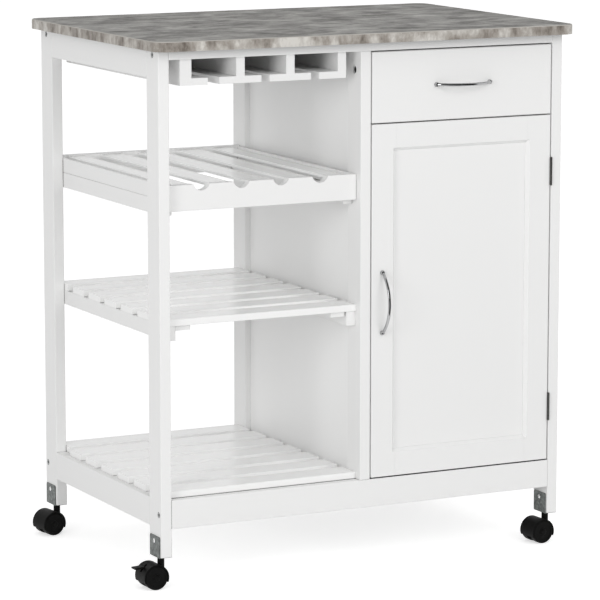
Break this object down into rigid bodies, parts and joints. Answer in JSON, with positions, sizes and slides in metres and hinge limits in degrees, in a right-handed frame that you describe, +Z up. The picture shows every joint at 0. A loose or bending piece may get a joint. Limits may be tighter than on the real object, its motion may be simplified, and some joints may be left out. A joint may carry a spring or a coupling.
{
  "type": "kitchen cart",
  "caption": "Rolling kitchen cart with a stone-look worktop, a drawer over a panelled door, a wine rack, glass hangers and slatted shelves.",
  "frame": {"origin": "on the floor, below the middle of the worktop", "axes": "+X to the right as seen from the front, +Y to the back, +Z up; the drawer and the door face -Y"},
  "size_m": [0.761, 0.512, 0.85],
  "materials": {
    "white_paint": "satin white lacquer on board",
    "worktop": "matt concrete-look laminate on board",
    "chrome": "polished plate",
    "zinc": "zinc-plated sheet",
    "dark_steel": "darkened sheet",
    "black_steel": "black oxide",
    "black_plastic": "moulded, slightly glossy",
    "catch_plastic": "moulded"
  },
  "bodies": {
    "root": {"worktop": "worktop", "post_front_left": "white_paint", "post_front_middle": "white_paint", "post_front_right": "white_paint", "post_rear_left": "white_paint", "post_rear_middle": "white_paint", "post_rear_right": "white_paint", "top_rail_front": "white_paint", "top_rail_rear": "white_paint", "top_apron_left": "white_paint", "bottom_rail_front": "white_paint", "bottom_rail_rear": "white_paint", "bottom_rail_left": "white_paint", "divider_panel": "white_paint", "right_side_panel": "white_paint", "back_panel": "white_paint", "cabinet_floor": "white_paint", "frame_bolts": "black_steel", "barrel_nuts": "black_steel", "glass_hanger_left": "white_paint", "glass_hangers_inner": "white_paint", "glass_hanger_right": "white_paint", "wine_rack_front_board": "white_paint", "wine_rack_rear_board": "white_paint", "wine_rack_side_boards": "white_paint", "wine_rack_supports": "white_paint", "wine_rack_slats": "white_paint", "middle_shelf_slats": "white_paint", "middle_shelf_supports": "white_paint", "bottom_shelf_slats": "white_paint", "shelf_battens": "white_paint", "drawer_runners_fixed": "zinc", "hinge_frame_leaves": "dark_steel", "door_catch": "catch_plastic", "caster_brackets": "zinc", "bracket_screws": "zinc"},
    "drawer": {"drawer_front": "white_paint", "drawer_sides": "white_paint", "drawer_back": "white_paint", "drawer_bottom": "white_paint", "drawer_handle": "chrome", "drawer_runners_moving": "zinc"},
    "door": {"door_stile_handle_side": "white_paint", "door_stile_hinge_side": "white_paint", "door_rail_top": "white_paint", "door_rail_bottom": "white_paint", "door_panel": "white_paint", "door_handle": "chrome", "hinge_door_leaves": "dark_steel", "door_strike": "zinc"},
    "swivel_front_left": {"caster_housing_front_left": "black_plastic"},
    "wheels_front_left": {"caster_wheels_front_left": "black_plastic"},
    "brake_front_left": {"brake_lever_front_left": "black_plastic"},
    "swivel_front_right": {"caster_housing_front_right": "black_plastic"},
    "wheels_front_right": {"caster_wheels_front_right": "black_plastic"},
    "swivel_rear_left": {"caster_housing_rear_left": "black_plastic"},
    "wheels_rear_left": {"caster_wheels_rear_left": "black_plastic"},
    "swivel_rear_right": {"caster_housing_rear_right": "black_plastic"},
    "wheels_rear_right": {"caster_wheels_rear_right": "black_plastic"},
    "brake_rear_right": {"brake_lever_rear_right": "black_plastic"}
  },
  "joints": [
    {"name": "drawer_slide", "type": "slide", "parent": "root", "child": "drawer", "axis": [0, -1, 0], "range_m": [0, 0.28]},
    {"name": "door_hinge", "type": "hinge", "parent": "root", "child": "door", "pos_m": [0.336, -0.2309, 0.42125], "axis": [0, 0, 1], "range_deg": [0, 110]},
    {"name": "swivel_front_left", "type": "hinge", "parent": "root", "child": "swivel_front_left", "pos_m": [-0.346, -0.207, 0.045], "axis": [0, 0, 1], "continuous": true},
    {"name": "roll_front_left", "type": "hinge", "parent": "swivel_front_left", "child": "wheels_front_left", "pos_m": [-0.361, -0.207, 0.019], "axis": [0, 1, 0], "continuous": true},
    {"name": "brake_front_left", "type": "hinge", "parent": "swivel_front_left", "child": "brake_front_left", "pos_m": [-0.3715, -0.207, 0.0315], "axis": [0, -1, 0], "range_deg": [0, 14]},
    {"name": "swivel_front_right", "type": "hinge", "parent": "root", "child": "swivel_front_right", "pos_m": [0.346, -0.207, 0.045], "axis": [0, 0, 1], "continuous": true},
    {"name": "roll_front_right", "type": "hinge", "parent": "swivel_front_right", "child": "wheels_front_right", "pos_m": [0.33104, -0.20805, 0.019], "axis": [-0.0698, 0.9976, 0], "continuous": true},
    {"name": "swivel_rear_left", "type": "hinge", "parent": "root", "child": "swivel_rear_left", "pos_m": [-0.346, 0.207, 0.045], "axis": [0, 0, 1], "continuous": true},
    {"name": "roll_rear_left", "type": "hinge", "parent": "swivel_rear_left", "child": "wheels_rear_left", "pos_m": [-0.36081, 0.20465, 0.019], "axis": [-0.1564, 0.9877, 0], "continuous": true},
    {"name": "swivel_rear_right", "type": "hinge", "parent": "root", "child": "swivel_rear_right", "pos_m": [0.346, 0.207, 0.045], "axis": [0, 0, 1], "continuous": true},
    {"name": "roll_rear_right", "type": "hinge", "parent": "swivel_rear_right", "child": "wheels_rear_right", "pos_m": [0.33104, 0.20595, 0.019], "axis": [-0.0698, 0.9976, 0], "continuous": true},
    {"name": "brake_rear_right", "type": "hinge", "parent": "swivel_rear_right", "child": "brake_rear_right", "pos_m": [0.32056, 0.20522, 0.0315], "axis": [0.0698, -0.9976, 0], "range_deg": [0, 14]}
  ]
}
